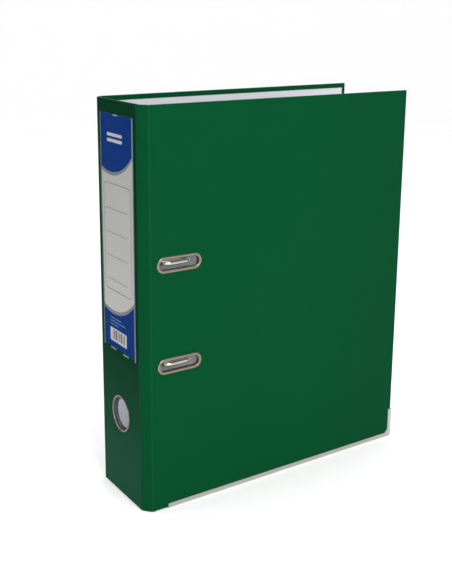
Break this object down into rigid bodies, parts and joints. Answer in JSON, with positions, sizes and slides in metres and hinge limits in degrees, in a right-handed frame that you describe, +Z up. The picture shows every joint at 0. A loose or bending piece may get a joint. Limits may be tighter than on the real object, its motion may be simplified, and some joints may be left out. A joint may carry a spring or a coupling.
{
  "type": "lever arch file",
  "caption": "Tall board file with a labelled spine, finger hole and lined cover slots; a lever opens the wire arches over posts that hold punched paper",
  "frame": {"origin": "middle of the bounding box in plan, on the plane the file stands on", "axes": "+X from the spine to the fore edge, +Y from the front cover to the back cover, +Z up along the spine"},
  "size_m": [0.27, 0.0888, 0.318],
  "materials": {
    "cover_film": "embossed polypropylene film, satin",
    "grey_board": "solid grey board, hidden inside the film and lining",
    "lining_paper": "matt uncoated paper",
    "edge_steel": "nickel-plated sheet steel, satin",
    "nickel_trim": "nickel-plated, bright",
    "clear_film": "clear film, glossy",
    "label_paper": "printed card, blue and light grey",
    "roller_plastic": "moulded, matt",
    "spring_steel": "plain spring wire",
    "nickel_plate": "nickel-plated pressed steel and wire, bright"
  },
  "bodies": {
    "back_cover": {"back_board": "grey_board", "back_film": "cover_film", "back_lining": "lining_paper", "back_edge_guard": "edge_steel", "base_plate": "nickel_plate", "axle_sleeves": "nickel_plate", "lever_ears": "nickel_plate", "plate_rivets": "nickel_plate", "upper_post": "nickel_plate", "lower_post": "nickel_plate", "return_spring": "spring_steel", "lever_pin": "nickel_plate"},
    "back_strip": {"back_strip_board": "grey_board", "back_strip_film": "cover_film", "back_strip_lining": "lining_paper"},
    "spine": {"spine_board": "grey_board", "spine_film": "cover_film", "spine_lining": "lining_paper", "finger_ring": "nickel_trim", "finger_ring_washer": "nickel_trim", "label_pocket": "clear_film"},
    "front_strip": {"front_strip_board": "grey_board", "front_strip_film": "cover_film", "front_strip_lining": "lining_paper"},
    "front_cover": {"front_board": "grey_board", "front_film": "cover_film", "front_lining": "lining_paper", "front_edge_guard": "edge_steel", "upper_slot_eyelet": "nickel_trim", "lower_slot_eyelet": "nickel_trim", "upper_eyelet_washer": "nickel_trim", "lower_eyelet_washer": "nickel_trim"},
    "lever": {"lever_arm": "nickel_plate", "roller_pin": "nickel_plate"},
    "roller": {"roller": "roller_plastic"},
    "arch": {"arch_bow": "nickel_plate"},
    "compressor": {"compressor_bar": "nickel_plate", "compressor_leaf": "nickel_plate"},
    "label": {"spine_label": "label_paper"}
  },
  "joints": [
    {"name": "case_open", "type": "hinge", "parent": "back_cover", "child": "back_strip", "pos_m": [-0.12149, 0.04347, 0.159], "axis": [0, 0, -1], "range_deg": [0, 37]},
    {"name": "spine_fold", "type": "hinge", "parent": "back_strip", "child": "spine", "pos_m": [-0.12884, 0.03793, 0.159], "axis": [0, 0, -1], "range_deg": [0, 48.01]},
    {"name": "front_strip_fold", "type": "hinge", "parent": "spine", "child": "front_strip", "pos_m": [-0.13477, -0.02981, 0.159], "axis": [0, 0, -1], "range_deg": [0, 42.01]},
    {"name": "front_cover_fold", "type": "hinge", "parent": "front_strip", "child": "front_cover", "pos_m": [-0.12923, -0.03716, 0.159], "axis": [0, 0, -1], "range_deg": [0, 51.51]},
    {"name": "lever_lift", "type": "hinge", "parent": "back_cover", "child": "lever", "pos_m": [-0.11663, 0.02827, 0.159], "axis": [0, 0, -1], "range_deg": [0, 45.01]},
    {"name": "arch_open", "type": "hinge", "parent": "back_cover", "child": "arch", "pos_m": [-0.11713, 0.03597, 0.159], "axis": [0, 0, -1], "range_deg": [0, 45.01]},
    {"name": "roller_spin", "type": "hinge", "parent": "lever", "child": "roller", "pos_m": [-0.10613, 0.02995, 0.159], "axis": [0, 0, 1], "continuous": true},
    {"name": "compressor_slide", "type": "slide", "parent": "back_cover", "child": "compressor", "axis": [0, -1, 0], "range_m": [0, 0.042]},
    {"name": "label_slide", "type": "slide", "parent": "spine", "child": "label", "axis": [0, 0, 1], "range_m": [0, 0.2]}
  ],
  "couplings": [
    {"joint": "spine_fold", "follows": "case_open", "ratio": 1.2973},
    {"joint": "front_strip_fold", "follows": "case_open", "ratio": 1.1351},
    {"joint": "front_cover_fold", "follows": "case_open", "ratio": 1.3919},
    {"joint": "lever_lift", "follows": "case_open", "ratio": 1.2162},
    {"joint": "arch_open", "follows": "case_open", "ratio": 1.2162}
  ]
}
